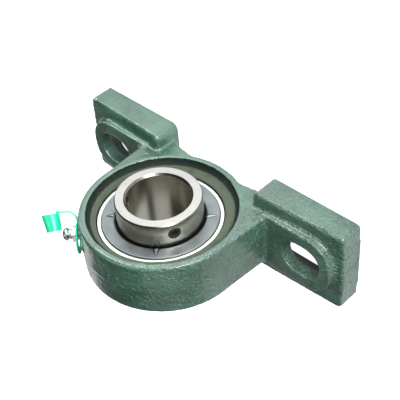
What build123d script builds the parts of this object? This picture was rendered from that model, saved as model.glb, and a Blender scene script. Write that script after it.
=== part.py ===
from build123d import *
import math
import os

# Pillow block bearing for a 30 mm shaft: a cast housing with a spherical seat, which holds a
# self-aligning ball bearing insert with two set screws. Millimetres, +Z up. The feet stand on
# z = 0, the shaft runs along Y, and the end of the insert with the set screws points to -Y.

# Shaft and insert
BORE_D = 30.0
INNER_RING_OD = 40.2
INNER_RING_LENGTH = 38.1
INNER_RING_FRONT = 22.2
BORE_CHAMFER = 0.9
RING_CHAMFER = 0.5
OUTER_RING_OD = 62.0
OUTER_RING_WIDTH = 19.0
OUTER_LAND_D = 52.0
COUNTERBORE_D = 55.2

# Balls and their tracks
BALL_D = 9.525
BALL_COUNT = 9
PITCH_D = 46.0
TRACK_RADIUS = 4.99
BALL_CLEARANCE = 0.04

# Pressed cage in two wavy halves, riveted between the balls
CAGE_SHEET = 0.8
CAGE_INNER_D = 41.8
CAGE_OUTER_D = 50.4
POCKET_CLEARANCE = 0.12
RIVET_D = 1.5
RIVET_HEAD_D = 2.8
RIVET_HEAD_HEIGHT = 0.6
RIVET_CLEARANCE = 0.02

# Rubber seals
SEAL_OUTER_FACE = 8.1
SEAL_THICKNESS = 0.9
SEAL_BEAD_D = 56.0
SEAL_GROOVE_OUTER_Y = 7.9
SEAL_GROOVE_WIDTH = 1.2
SEAL_LIP_CLEARANCE = 0.12
SEAL_LIP_LENGTH = 1.2
SEAL_FIT = 0.03

# Steel slingers, staked into necks of the inner ring
SLINGER_SHEET = 0.6
SLINGER_FACE_Y = 10.3
SLINGER_D = 54.6
SLINGER_LIP = 1.3
SLINGER_DISH_D = 43.4
SLINGER_NECK_D = 39.4
SLINGER_NECK_Y = 8.6
SLINGER_NECK_WIDTH = 1.3
SLINGER_FIT = 0.03
STAKE_COUNT = 4
STAKE_ANGLE = 40.0
STAKE_WIDTH = 3.4
STAKE_DEPTH = 2.4

# Set screws
SCREW_D = 6.0
SCREW_LENGTH = 4.7
SCREW_FROM_FACE = 5.5
SCREW_ANGLES = (155.0, 35.0)
SCREW_SOCKET_FLATS = 3.0
SCREW_SOCKET_DEPTH = 2.6
SCREW_POINT_CHAMFER = 0.8
SCREW_CLEARANCE = 0.05
SCREW_SUNK = 0.15

# Cast housing
CENTRE_HEIGHT = 42.9
HOUSING_LENGTH = 162.0
HOUSING_RADIUS = 39.2
BODY_DROP = 1.4
BODY_WIDTH = 29.0
WEB_STEP = 0.3
FOOT_WIDTH = 44.0
FOOT_HEIGHT_INNER = 14.4
FOOT_HEIGHT_OUTER = 12.5
FOOT_INNER_X = 30.0
FOOT_EDGE_RADIUS = 1.8
FOOT_CORNER_RADIUS = 3.4
ARCH_HEIGHT = 7.0
ARCH_SPRING_HEIGHT = 4.2
ARCH_SLOPE = 1.5
FLANK_SLOPE = 3.6
FLANK_FILLET = 1.6
ROOT_INSET = 0.4
BODY_EDGE_RADIUS = 1.8
DRAFT = 1.5
PAD_HEIGHT = 17.0
PAD_WIDTH = 31.6
PAD_END_X = 77.2
PAD_CORNER_RADIUS = 14.0
PAD_DRAFT = 6.0
PAD_EDGE_RADIUS = 0.6
SLOT_PITCH = 121.0
SLOT_WIDTH = 17.0
SLOT_LENGTH = 21.0
SLOT_EDGE_RADIUS = 0.35
POCKET_DEPTH = 10.0
POCKET_WALL = 4.7
POCKET_INNER_X = 35.0
POCKET_CORNER_RADIUS = 6.0
POCKET_EDGE_RADIUS = 1.5
POCKET_DRAFT = 3.0

# Seat for the insert
SEAT_CLEARANCE = 0.08
RECESS_D = 69.8
RECESS_FLOOR_D = 65.8
RECESS_DEPTH = 3.8
LOADING_CLEARANCE = 0.4
GREASE_GROOVE_Y = -3.0
GREASE_GROOVE_WIDTH = 6.0
GREASE_GROOVE_DEPTH = 0.8
GREASE_HOLE_D = 1.6
GREASE_HOLE_Y = -5.2
RING_GROOVE_WIDTH = 2.0
RING_GROOVE_DEPTH = 0.5

# Grease nipple and its cap
NIPPLE_ANGLE = 45.0
NIPPLE_Y = -2.0
NIPPLE_THREAD_D = 6.0
NIPPLE_FOOT_GAP = 0.69755
NIPPLE_THREAD_CLEARANCE = 0.05
NIPPLE_HEX_FLATS = 7.0
NIPPLE_HEX_HEIGHT = 2.0
NIPPLE_NECK_D = 4.4
NIPPLE_NECK_LENGTH = 1.6
NIPPLE_HEAD_D = 6.3
NIPPLE_HEAD_LENGTH = 2.9
NIPPLE_TIP_D = 3.4
NIPPLE_BORE_D = 2.8
NIPPLE_MOUTH_D = 1.6
NIPPLE_MOUTH_LENGTH = 0.8
NIPPLE_CRIMP = 0.8
CHECK_BALL_D = 2.4
CHECK_BALL_CLEARANCE = 0.03
SPRING_WIRE = 0.3
SPRING_COILS = 4
GREASE_DRILL_D = 4.0
CAP_TURN = 42.5
CAP_RING_OD = 15.2
CAP_RING_THICKNESS = 1.0
CAP_RING_OFFSET = 2.0
CAP_RING_CLEARANCE = 0.25
CAP_RING_GAP = 0.15
CAP_EDGE = 0.3
CAP_END_THICKNESS = 1.2
CAP_OD = 7.2
CAP_LENGTH = 8.2
CAP_WALL = 0.7
CAP_LEAN = 7.0
CAP_END_INSET = 0.8
STRAP_WIDTH = 2.6
STRAP_THICKNESS = 0.9
STRAP_REACH = 10.4
STRAP_BEND_RADIUS = 5.2
STRAP_STRAIGHT = 4.5
STRAP_LAP = 1.2

CENTRE = Location((0, 0, CENTRE_HEIGHT))
BODY_CENTRE = Location((0, 0, CENTRE_HEIGHT - BODY_DROP))

outer_radius = OUTER_RING_OD / 2
seat_radius = outer_radius + SEAT_CLEARANCE
bore_radius = BORE_D / 2
ring_radius = INNER_RING_OD / 2
pitch_radius = PITCH_D / 2
ball_radius = BALL_D / 2
outer_track = pitch_radius + ball_radius + BALL_CLEARANCE
inner_track = pitch_radius - ball_radius - BALL_CLEARANCE
screw_y = SCREW_FROM_FACE - INNER_RING_FRONT
screw_radius = SCREW_D / 2 - SCREW_CLEARANCE

# Places along the nipple's axis, measured from the shaft's axis
drop_along = BODY_DROP * math.sin(math.radians(NIPPLE_ANGLE))
drop_across = BODY_DROP * math.cos(math.radians(NIPPLE_ANGLE))
nipple_surface = math.sqrt(HOUSING_RADIUS**2 - drop_across**2) - drop_along
nipple_foot = outer_radius + NIPPLE_FOOT_GAP
spring_seat = nipple_foot + NIPPLE_CRIMP
hex_base = nipple_surface + 2 * CAP_RING_GAP + CAP_RING_THICKNESS
hex_top = hex_base + NIPPLE_HEX_HEIGHT
head_start = hex_top + NIPPLE_NECK_LENGTH
tip_x = head_start + NIPPLE_HEAD_LENGTH
cone_end = tip_x - NIPPLE_MOUTH_LENGTH
cone_start = cone_end - (NIPPLE_BORE_D - NIPPLE_MOUTH_D) / 2
check_ball_x = cone_start + NIPPLE_BORE_D / 2 - math.sqrt(2) * (CHECK_BALL_D / 2 + CHECK_BALL_CLEARANCE)
spring_radius = (NIPPLE_BORE_D - SPRING_WIRE) / 2 - 2 * CHECK_BALL_CLEARANCE


def turned(outline):
    """Turn a closed outline, drawn as radius and place along the shaft, about the shaft."""
    return CENTRE * revolve(make_face(outline), Axis.Y)


def around(angle):
    """Point the X axis away from the shaft at an angle above +X, seen from the front."""
    return CENTRE * Location((0, 0, 0), (0, -angle, 0))


def at_nipple():
    """Point the X axis out along the grease nipple."""
    return around(NIPPLE_ANGLE) * Pos(0, NIPPLE_Y, 0)


def sphere_radius_at(radius, y):
    return math.sqrt(radius**2 - y**2)


def track_half_width(track_centre, land):
    return math.sqrt(TRACK_RADIUS**2 - (land - track_centre) ** 2)


def side_outline(width, radius):
    """The body seen from above: drafted from the parting plane, with rounded rims."""
    face = width / 2
    face_x = radius - face * math.tan(math.radians(DRAFT))
    outline = make_face(Polyline(
        (face_x, -face), (radius, 0), (face_x, face), (-face_x, face), (-radius, 0), (-face_x, -face),
        close=True,
    ))
    rims = outline.vertices().filter_by(lambda v: abs(v.Y) > face / 2)
    return fillet(rims, BODY_EDGE_RADIUS)


def housing_body():
    """A turned ring in a slightly thinner web with splayed flanks, arched below, filleted into the feet."""
    half = Rectangle(HOUSING_RADIUS, BODY_WIDTH, align=(Align.MIN, Align.CENTER))
    ring = BODY_CENTRE * revolve(side_outline(BODY_WIDTH, HOUSING_RADIUS) & half, Axis.Y)
    web_width = BODY_WIDTH - 2 * WEB_STEP
    web_height = CENTRE_HEIGHT - BODY_DROP
    splay = math.tan(math.radians(FLANK_SLOPE))
    top = Pos(0, 0, web_height) * side_outline(web_width, HOUSING_RADIUS)
    web = loft([side_outline(web_width, HOUSING_RADIUS + web_height * splay), top], ruled=True)
    root_width = web_width - 2 * ROOT_INSET
    root_height = PAD_HEIGHT + FLANK_FILLET
    face_x = HOUSING_RADIUS - web_width / 2 * math.tan(math.radians(DRAFT))
    web_end = face_x + (web_height - root_height) * splay + FLANK_FILLET
    for side in (-1, 1):
        root = Pos(side * FOOT_INNER_X, 0, 0) * Box(
            web_end - FOOT_INNER_X, root_width, root_height,
            align=(Align.MIN if side > 0 else Align.MAX, Align.CENTER, Align.MIN),
        )
        round_tool = Pos(side * web_end, 0, root_height) * Rot(90, 0, 0) * Cylinder(
            FLANK_FILLET, BODY_WIDTH
        )
        web += root - round_tool
    spring_x = FOOT_INNER_X - ARCH_SLOPE
    arch = Plane.XZ * make_face([
        ThreePointArc((-spring_x, ARCH_SPRING_HEIGHT), (0, ARCH_HEIGHT), (spring_x, ARCH_SPRING_HEIGHT)),
        Polyline(
            (spring_x, ARCH_SPRING_HEIGHT), (FOOT_INNER_X, 0), (FOOT_INNER_X, -1), (-FOOT_INNER_X, -1),
            (-FOOT_INNER_X, 0), (-spring_x, ARCH_SPRING_HEIGHT),
        ),
    ])
    web -= extrude(arch, BODY_WIDTH, both=True)
    return web + ring


def foot():
    """The +X foot: rounded corners, a falling top and an end drafted from the parting plane."""
    outer_x = HOUSING_LENGTH / 2
    half_width = FOOT_WIDTH / 2
    length = outer_x - FOOT_INNER_X
    plan = Pos(FOOT_INNER_X, 0) * Rectangle(length, FOOT_WIDTH, align=(Align.MIN, Align.CENTER))
    plan = fillet(plan.vertices(), FOOT_CORNER_RADIUS)
    side_view = Plane.XZ * make_face(Polyline(
        (FOOT_INNER_X, 0), (outer_x, 0), (outer_x, FOOT_HEIGHT_OUTER), (FOOT_INNER_X, FOOT_HEIGHT_INNER),
        close=True,
    ))
    block = extrude(plan, CENTRE_HEIGHT) & extrude(side_view, FOOT_WIDTH, both=True)
    block = fillet(block.faces().sort_by(Axis.Z)[-1].edges(), FOOT_EDGE_RADIUS)
    corner_x = outer_x - half_width * math.tan(math.radians(DRAFT))
    drafted = make_face(Polyline(
        (0, -half_width), (corner_x, -half_width), (outer_x, 0), (corner_x, half_width), (0, half_width),
        close=True,
    ))
    return block & extrude(drafted, CENTRE_HEIGHT)


def pad_and_slot():
    """The raised pad of the +X foot, and the tool that cuts its bolt slot."""
    start = HOUSING_RADIUS - FLANK_FILLET
    hidden_end = start - PAD_CORNER_RADIUS
    outline = Pos(hidden_end, 0) * Rectangle(
        PAD_END_X - hidden_end, PAD_WIDTH, align=(Align.MIN, Align.CENTER)
    )
    outline = fillet(outline.vertices(), PAD_CORNER_RADIUS)
    base = POCKET_DEPTH + 1
    pad = extrude(Pos(0, 0, base) * outline, PAD_HEIGHT - base, taper=PAD_DRAFT)
    pad = fillet(pad.faces().sort_by(Axis.Z)[-1].edges(), PAD_EDGE_RADIUS)
    pad &= Pos(start, 0, 0) * Box(
        PAD_END_X - start, PAD_WIDTH, PAD_HEIGHT, align=(Align.MIN, Align.CENTER, Align.MIN)
    )
    slot = Pos(SLOT_PITCH / 2, 0, -1) * extrude(SlotOverall(SLOT_LENGTH, SLOT_WIDTH), PAD_HEIGHT + 2)
    pad -= slot
    slot_rim = pad.faces().sort_by(Axis.Z)[-1].inner_wires()[0].edges()
    return fillet(slot_rim, SLOT_EDGE_RADIUS), slot


def foot_pocket():
    """The core that hollows the +X foot from below."""
    length = HOUSING_LENGTH / 2 - POCKET_WALL - POCKET_INNER_X
    width = FOOT_WIDTH - 2 * POCKET_WALL
    outline = Pos(POCKET_INNER_X, 0) * Rectangle(length, width, align=(Align.MIN, Align.CENTER))
    outline = fillet(outline.vertices(), POCKET_CORNER_RADIUS)
    core = extrude(outline, POCKET_DEPTH, taper=POCKET_DRAFT)
    return fillet(core.faces().sort_by(Axis.Z)[-1].edges(), POCKET_EDGE_RADIUS)


def seat_cavity():
    """The spherical seat, and the cast recess on both faces, which shares the body's centre."""
    outside = BODY_WIDTH / 2 + 1
    face = BODY_WIDTH / 2
    mouth = RECESS_D / 2
    floor = RECESS_FLOOR_D / 2
    floor_y = face - RECESS_DEPTH
    recess = BODY_CENTRE * revolve(make_face(Polyline(
        (0, -outside), (mouth, -outside), (mouth, -face), (floor, -floor_y), (0, -floor_y), close=True
    )), Axis.Y)
    return CENTRE * Sphere(seat_radius) + recess + mirror(recess, Plane.XZ)


def loading_slots():
    """Two notches in the back of the seat, where the insert goes in edgeways."""
    notch_height = OUTER_RING_WIDTH + 2 * LOADING_CLEARANCE
    depth = BODY_WIDTH / 2 + 1
    notch = CENTRE * Box(
        2 * HOUSING_RADIUS, depth, notch_height, align=(Align.CENTER, Align.MIN, Align.CENTER)
    )
    reach = CENTRE * Rot(90, 0, 0) * Cylinder(seat_radius, 2 * depth)
    return notch & reach


def grease_way():
    """The groove in the seat, the drilling that feeds it and the hole for the nipple."""
    groove_r = seat_radius + GREASE_GROOVE_DEPTH
    low = GREASE_GROOVE_Y - GREASE_GROOVE_WIDTH / 2
    high = GREASE_GROOVE_Y + GREASE_GROOVE_WIDTH / 2
    groove = turned([Polyline((0, low), (groove_r, low), (groove_r, high), (0, high), close=True)])
    drill = Pos(HOUSING_RADIUS / 2, 0, 0) * Rot(0, 90, 0) * Cylinder(
        GREASE_DRILL_D / 2, HOUSING_RADIUS, align=(Align.CENTER, Align.CENTER, Align.MIN)
    )
    thread = Pos(nipple_foot - NIPPLE_THREAD_CLEARANCE, 0, 0) * Rot(0, 90, 0) * Cylinder(
        NIPPLE_THREAD_D / 2, HOUSING_RADIUS, align=(Align.CENTER, Align.CENTER, Align.MIN)
    )
    return groove + at_nipple() * (drill + thread)


def housing():
    """The one-piece casting with its machined seat."""
    casting = housing_body()
    right_foot = foot()
    casting += right_foot + mirror(right_foot, Plane.YZ)
    pad, slot = pad_and_slot()
    casting += pad + mirror(pad, Plane.YZ)
    pocket = foot_pocket()
    casting -= pocket + mirror(pocket, Plane.YZ)
    casting -= slot + mirror(slot, Plane.YZ)
    casting -= seat_cavity()
    casting -= loading_slots()
    casting -= grease_way()
    return casting


def outer_ring():
    """Spherical outside, one deep groove inside, a counterbore and seal groove at each face."""
    face = OUTER_RING_WIDTH / 2
    corner_y = face - RING_CHAMFER
    face_r = sphere_radius_at(outer_radius, face) - RING_CHAMFER
    corner_r = sphere_radius_at(outer_radius, corner_y)
    counter_r = COUNTERBORE_D / 2
    land_r = OUTER_LAND_D / 2
    bead_r = SEAL_BEAD_D / 2 + SEAL_FIT
    bead_in = SEAL_GROOVE_OUTER_Y - SEAL_GROOVE_WIDTH
    track_half = track_half_width(outer_track - TRACK_RADIUS, land_r)
    side = [
        (face_r, face), (counter_r, face), (counter_r, SEAL_GROOVE_OUTER_Y), (bead_r, SEAL_GROOVE_OUTER_Y),
        (bead_r, bead_in), (land_r, bead_in), (land_r, track_half),
    ]
    outline = [
        ThreePointArc((corner_r, -corner_y), (outer_radius, 0), (corner_r, corner_y)),
        Polyline((corner_r, corner_y), *side),
        ThreePointArc((land_r, track_half), (outer_track, 0), (land_r, -track_half)),
        Polyline((corner_r, -corner_y), *[(r, -y) for r, y in side]),
    ]
    ring = turned(outline)
    groove_r = outer_radius - RING_GROOVE_DEPTH
    low = GREASE_HOLE_Y - RING_GROOVE_WIDTH / 2
    high = GREASE_HOLE_Y + RING_GROOVE_WIDTH / 2
    ring -= turned([Polyline(
        (groove_r, low), (outer_radius + 1, low), (outer_radius + 1, high), (groove_r, high), close=True
    )])
    hole = Pos(0, GREASE_HOLE_Y, 0) * Rot(0, 90, 0) * Cylinder(GREASE_HOLE_D / 2, 3 * outer_radius)
    return ring - around(NIPPLE_ANGLE) * hole


def inner_ring():
    """The ring that takes the shaft, long towards the set screws."""
    front = -INNER_RING_FRONT
    back = INNER_RING_LENGTH - INNER_RING_FRONT
    neck_r = SLINGER_NECK_D / 2
    neck_out = SLINGER_NECK_Y + SLINGER_NECK_WIDTH
    track_half = track_half_width(inner_track + TRACK_RADIUS, ring_radius)
    outline = [
        Polyline(
            (ring_radius, -track_half), (ring_radius, -SLINGER_NECK_Y), (neck_r, -SLINGER_NECK_Y),
            (neck_r, -neck_out), (ring_radius, -neck_out), (ring_radius, front + RING_CHAMFER),
            (ring_radius - RING_CHAMFER, front), (bore_radius + BORE_CHAMFER, front),
            (bore_radius, front + BORE_CHAMFER), (bore_radius, back - BORE_CHAMFER),
            (bore_radius + BORE_CHAMFER, back), (ring_radius - RING_CHAMFER, back),
            (ring_radius, back - RING_CHAMFER), (ring_radius, neck_out), (neck_r, neck_out),
            (neck_r, SLINGER_NECK_Y), (ring_radius, SLINGER_NECK_Y), (ring_radius, track_half),
        ),
        ThreePointArc((ring_radius, track_half), (inner_track, 0), (ring_radius, -track_half)),
    ]
    ring = turned(outline)
    hole = Pos(0, screw_y, 0) * Rot(0, 90, 0) * Cylinder(
        SCREW_D / 2, 2 * ring_radius, align=(Align.CENTER, Align.CENTER, Align.MIN)
    )
    for angle in SCREW_ANGLES:
        ring -= around(angle) * hole
    return ring


def set_screw(angle):
    """A cup point screw with a hexagon socket, flush in its hole and clear of the bore."""
    outline = make_face(Polyline(
        (0, 0), (0, screw_radius - SCREW_POINT_CHAMFER), (SCREW_POINT_CHAMFER, screw_radius),
        (SCREW_LENGTH - SCREW_SUNK, screw_radius), (SCREW_LENGTH, screw_radius - SCREW_SUNK),
        (SCREW_LENGTH, 0), close=True,
    ))
    screw = revolve(outline, Axis.X)
    socket = Pos(SCREW_LENGTH - SCREW_SOCKET_DEPTH, 0, 0) * Rot(0, 90, 0) * extrude(
        RegularPolygon(SCREW_SOCKET_FLATS / 2, 6, major_radius=False), SCREW_LENGTH
    )
    point_x = ring_radius - SCREW_SUNK - SCREW_LENGTH
    return around(angle) * Pos(point_x, screw_y, 0) * (screw - socket)


def ball(index):
    return around(index * 360 / BALL_COUNT) * Pos(pitch_radius, 0, 0) * Sphere(ball_radius)


def cage_half(side):
    """A pressed ribbon that bends round each ball: side is -1 for the front half, 1 for the back."""
    pocket_r = ball_radius + POCKET_CLEARANCE
    bend_r = pocket_r + CAGE_SHEET
    inner_r = CAGE_INNER_D / 2
    outer_r = CAGE_OUTER_D / 2
    depth = bend_r + 1
    band = turned([Polyline(
        (inner_r, 0), (outer_r, 0), (outer_r, -CAGE_SHEET), (inner_r, -CAGE_SHEET), close=True
    )])
    tube = turned([Polyline((inner_r, 0), (outer_r, 0), (outer_r, -depth), (inner_r, -depth), close=True)])
    bends = []
    pockets = []
    for index in range(BALL_COUNT):
        at_ball = around(index * 360 / BALL_COUNT) * Pos(pitch_radius, 0, 0) * Rot(0, 90, 0)
        bends.append(at_ball * Cylinder(bend_r, 2 * BALL_D))
        pockets.append(at_ball * Cylinder(pocket_r, 2 * BALL_D))
    hole = Rot(90, 0, 0) * Cylinder(RIVET_D / 2 + RIVET_CLEARANCE, 4 * CAGE_SHEET)
    holes = [spot * hole for spot in rivet_spots()]
    half = band + (tube & Compound(bends)) - pockets - holes
    return half if side < 0 else mirror(half, Plane.XZ)


def rivet_spots():
    middle = (CAGE_INNER_D + CAGE_OUTER_D) / 4
    return [around((index + 0.5) * 360 / BALL_COUNT) * Pos(middle, 0, 0) for index in range(BALL_COUNT)]


def cage_rivets():
    """One rivet between each two balls, headed on both sides."""
    shank = RIVET_D / 2
    head = RIVET_HEAD_D / 2
    top = CAGE_SHEET + RIVET_HEAD_HEIGHT
    rivet = revolve(make_face(Polyline(
        (0, -top), (head, -top), (head, -CAGE_SHEET), (shank, -CAGE_SHEET), (shank, CAGE_SHEET),
        (head, CAGE_SHEET), (head, top), (0, top), close=True,
    )), Axis.Y)
    return Compound([spot * rivet for spot in rivet_spots()])


def seal(side):
    """Moulded rubber on a flat disc: a bead in the outer ring, a lip on the inner ring."""
    bead_r = SEAL_BEAD_D / 2
    counter_r = COUNTERBORE_D / 2 - SEAL_FIT
    bead_out = SEAL_GROOVE_OUTER_Y - SEAL_FIT
    bead_in = SEAL_GROOVE_OUTER_Y - SEAL_GROOVE_WIDTH + SEAL_FIT
    inner_face = SEAL_OUTER_FACE - SEAL_THICKNESS
    bead_root = OUTER_LAND_D / 2 + SEAL_THICKNESS
    lip_r = ring_radius + SEAL_LIP_CLEARANCE
    lip_root = lip_r + SEAL_LIP_LENGTH
    outline = Polyline(
        (lip_r, inner_face), (lip_root, inner_face), (bead_root, inner_face), (bead_root, bead_in),
        (bead_r, bead_in), (bead_r, bead_out), (counter_r, bead_out), (counter_r, SEAL_OUTER_FACE),
        (lip_root, SEAL_OUTER_FACE), (lip_r, SEAL_OUTER_FACE + SEAL_LIP_CLEARANCE), close=True,
    )
    ring = turned([outline])
    return ring if side > 0 else mirror(ring, Plane.XZ)


def slinger(side):
    """A pressed steel disc that turns with the inner ring, dished and staked into its neck."""
    outer_r = SLINGER_D / 2
    dish_r = SLINGER_DISH_D / 2
    neck_r = SLINGER_NECK_D / 2 + SLINGER_FIT
    back = SLINGER_FACE_Y - SLINGER_SHEET
    neck_y = SLINGER_NECK_Y + SLINGER_FIT
    bend = SLINGER_SHEET / 2
    outline = Polyline(
        (outer_r, SLINGER_FACE_Y - SLINGER_LIP), (outer_r, SLINGER_FACE_Y - bend),
        (outer_r - bend, SLINGER_FACE_Y), (dish_r, SLINGER_FACE_Y), (neck_r, neck_y + SLINGER_SHEET),
        (neck_r, neck_y), (dish_r, back), (outer_r - SLINGER_SHEET, back),
        (outer_r - SLINGER_SHEET, SLINGER_FACE_Y - SLINGER_LIP), close=True,
    )
    disc = turned([outline])
    tip = dish_r + STAKE_DEPTH
    notch = Plane.XZ * make_face(Polyline(
        (ring_radius - 1, -STAKE_WIDTH / 2), (ring_radius - 1, STAKE_WIDTH / 2), (tip, 0), close=True
    ))
    notch = Pos(0, neck_y - 1, 0) * extrude(notch, -(SLINGER_FACE_Y - neck_y + 2))
    for index in range(STAKE_COUNT):
        disc -= around(STAKE_ANGLE + index * 360 / STAKE_COUNT) * notch
    return disc if side > 0 else mirror(disc, Plane.XZ)


def grease_nipple():
    """Thread, hexagon, neck and head, bored for the check ball and its spring."""
    thread_r = NIPPLE_THREAD_D / 2 - NIPPLE_THREAD_CLEARANCE
    neck_r = NIPPLE_NECK_D / 2
    head_r = NIPPLE_HEAD_D / 2
    tip_r = NIPPLE_TIP_D / 2
    bore_r = NIPPLE_BORE_D / 2
    mouth_r = NIPPLE_MOUTH_D / 2
    shoulder = head_r - neck_r
    outline = [
        Polyline(
            (tip_x, mouth_r), (cone_end, mouth_r), (cone_start, bore_r), (spring_seat, bore_r),
            (spring_seat, mouth_r), (nipple_foot, mouth_r), (nipple_foot, thread_r), (hex_top, thread_r),
            (hex_top, neck_r), (head_start, neck_r), (head_start + shoulder, head_r),
            (tip_x - head_r + tip_r, head_r),
        ),
        Line((tip_x - head_r + tip_r, head_r), (tip_x, tip_r)),
        Line((tip_x, tip_r), (tip_x, mouth_r)),
    ]
    stem = revolve(make_face(outline), Axis.X)
    hexagon = Pos(hex_base, 0, 0) * Rot(0, 90, 0) * extrude(
        RegularPolygon(NIPPLE_HEX_FLATS / 2, 6, major_radius=False) - Circle(thread_r), NIPPLE_HEX_HEIGHT
    )
    return at_nipple() * (stem + hexagon)


def check_ball():
    return at_nipple() * Pos(check_ball_x, 0, 0) * Sphere(CHECK_BALL_D / 2)


def nipple_spring():
    """The light spring that holds the check ball shut."""
    start = spring_seat + SPRING_WIRE / 2 + CHECK_BALL_CLEARANCE
    reach = CHECK_BALL_D / 2 + SPRING_WIRE / 2 + CHECK_BALL_CLEARANCE
    end = check_ball_x - math.sqrt(reach**2 - spring_radius**2)
    length = end - start
    coil = Helix(length / SPRING_COILS, length, spring_radius)
    wire = sweep(Plane(coil @ 0, z_dir=coil % 0) * Rectangle(SPRING_WIRE, SPRING_WIRE), coil, is_frenet=True)
    return at_nipple() * Pos(start, 0, 0) * Rot(0, 90, 0) * wire


def nipple_cap():
    """One soft moulding: a wide loop round the nipple, a strap and the cap, shown taken off."""
    ring_middle = nipple_surface + CAP_RING_GAP + CAP_RING_THICKNESS / 2
    ring_hole = NIPPLE_THREAD_D / 2 + CAP_RING_OFFSET + CAP_RING_CLEARANCE
    washer = Circle(CAP_RING_OD / 2) - Circle(ring_hole)
    ring = Pos(ring_middle - CAP_RING_THICKNESS / 2, CAP_RING_OFFSET, 0) * Rot(0, 90, 0) * extrude(
        washer, CAP_RING_THICKNESS
    )
    rims = ring.edges().filter_by(GeomType.CIRCLE).filter_by(lambda e: e.radius > ring_hole + 1)
    ring = chamfer(rims, CAP_EDGE)
    strap_start = CAP_RING_OFFSET - (CAP_RING_OD / 2 + ring_hole) / 2
    strap_end = ring_middle + STRAP_BEND_RADIUS + STRAP_STRAIGHT
    path = FilletPolyline(
        (ring_middle, strap_start), (ring_middle, -STRAP_REACH), (strap_end, -STRAP_REACH),
        radius=STRAP_BEND_RADIUS,
    )
    strap_plane = Plane((ring_middle, strap_start, 0), x_dir=(0, 0, 1), z_dir=(0, -1, 0))
    strap = sweep(strap_plane * Rectangle(STRAP_WIDTH, STRAP_THICKNESS), path)
    outer_r = CAP_OD / 2
    cup = revolve(make_face(Polyline(
        (0, 0), (outer_r - CAP_EDGE, 0), (outer_r, CAP_EDGE), (outer_r, CAP_LENGTH),
        (outer_r - CAP_WALL, CAP_LENGTH), (outer_r - CAP_WALL, CAP_END_THICKNESS), (0, CAP_END_THICKNESS),
        close=True,
    )), Axis.Y)
    cup_x = strap_end + outer_r - STRAP_LAP
    cup = Pos(cup_x, CAP_END_INSET - STRAP_REACH, 0) * Rot(0, 0, CAP_LEAN) * cup
    return at_nipple() * Rot(CAP_TURN, 0, 0) * (ring + strap + cup)


def write_parts():
    nodes = {
        "housing": housing(),
        "grease_nipple": grease_nipple(),
        "nipple_check_ball": check_ball(),
        "nipple_spring": nipple_spring(),
        "nipple_cap": nipple_cap(),
        "outer_ring": outer_ring(),
        "inner_ring": inner_ring(),
        "cage_front_half": cage_half(-1),
        "cage_back_half": cage_half(1),
        "cage_rivets": cage_rivets(),
        "seal_front": seal(-1),
        "seal_back": seal(1),
        "slinger_front": slinger(-1),
        "slinger_back": slinger(1),
    }
    for number, angle in enumerate(SCREW_ANGLES, start=1):
        nodes[f"set_screw_{number}"] = set_screw(angle)
    for index in range(BALL_COUNT):
        nodes[f"ball_{index + 1}"] = ball(index)
    os.makedirs("parts", exist_ok=True)
    for name, shape in nodes.items():
        export_step(shape, f"parts/{name}.step")
        print(name, round(shape.volume, 2))


write_parts()
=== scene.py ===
# %% [markdown]
# # A pillow block bearing
# The part is a foot-mounted bearing: a green cast housing that stands on two feet, and a steel
# bearing insert that turns in it. The CAD model is already packed, so this lesson starts from its
# solids and gives them skin, metal, rubber and light. Everything is in the CAD's frame and in
# metres, or in millimetres where the name says so.

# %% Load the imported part
import math
import bpy
import numpy as np
from mathutils import Matrix, Vector


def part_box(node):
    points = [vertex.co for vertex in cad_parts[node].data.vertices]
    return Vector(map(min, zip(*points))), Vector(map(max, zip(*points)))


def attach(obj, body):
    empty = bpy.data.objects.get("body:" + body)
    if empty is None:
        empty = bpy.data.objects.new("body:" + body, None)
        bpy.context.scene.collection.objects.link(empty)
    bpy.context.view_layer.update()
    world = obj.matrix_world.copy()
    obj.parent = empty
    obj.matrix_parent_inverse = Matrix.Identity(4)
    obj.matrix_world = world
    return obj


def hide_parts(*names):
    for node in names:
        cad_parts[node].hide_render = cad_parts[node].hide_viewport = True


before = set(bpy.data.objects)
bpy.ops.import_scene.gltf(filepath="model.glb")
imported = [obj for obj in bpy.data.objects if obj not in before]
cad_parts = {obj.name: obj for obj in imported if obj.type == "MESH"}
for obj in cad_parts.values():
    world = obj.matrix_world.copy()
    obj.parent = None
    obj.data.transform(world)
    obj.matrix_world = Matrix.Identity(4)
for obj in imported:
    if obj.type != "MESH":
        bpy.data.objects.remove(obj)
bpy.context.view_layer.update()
MM = 0.001
MM_PER_M = 1000.0
SHAFT_HEIGHT_MM = 42.9
SHAFT_HEIGHT = SHAFT_HEIGHT_MM * MM
BODY_CENTRE_MM = 41.5
print("nodes in the frame:", len(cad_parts))

# %% [markdown]
# ## Helpers for node trees
# Shader trees and Geometry Nodes trees are both made of nodes and links. One helper adds a node,
# sets its options and fills its inputs, either with a value or with another node's output. That
# keeps each material short enough to read as a recipe.

# %% Helpers for node trees
def add_node(tree, kind, inputs=None, **options):
    """Add a node, set its options and fill its inputs with values or with sockets to link."""
    made = tree.nodes.new(kind)
    for key, value in options.items():
        setattr(made, key, value)
    for key, value in (inputs or {}).items():
        if isinstance(value, bpy.types.NodeSocket):
            tree.links.new(value, made.inputs[key])
        else:
            made.inputs[key].default_value = value
    return made


def calc(tree, operation, first, second=0.0, third=0.0, clamp=False):
    """One step of arithmetic. Works in shader trees and in Geometry Nodes trees."""
    return add_node(
        tree, "ShaderNodeMath", {0: first, 1: second, 2: third}, operation=operation, use_clamp=clamp
    ).outputs[0]


def ramp_between(tree, value, low, high):
    """0 below low, 1 above high, and smooth between them."""
    return add_node(
        tree, "ShaderNodeMapRange", {"Value": value, "From Min": low, "From Max": high},
        interpolation_type="SMOOTHSTEP",
    ).outputs[0]


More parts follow.
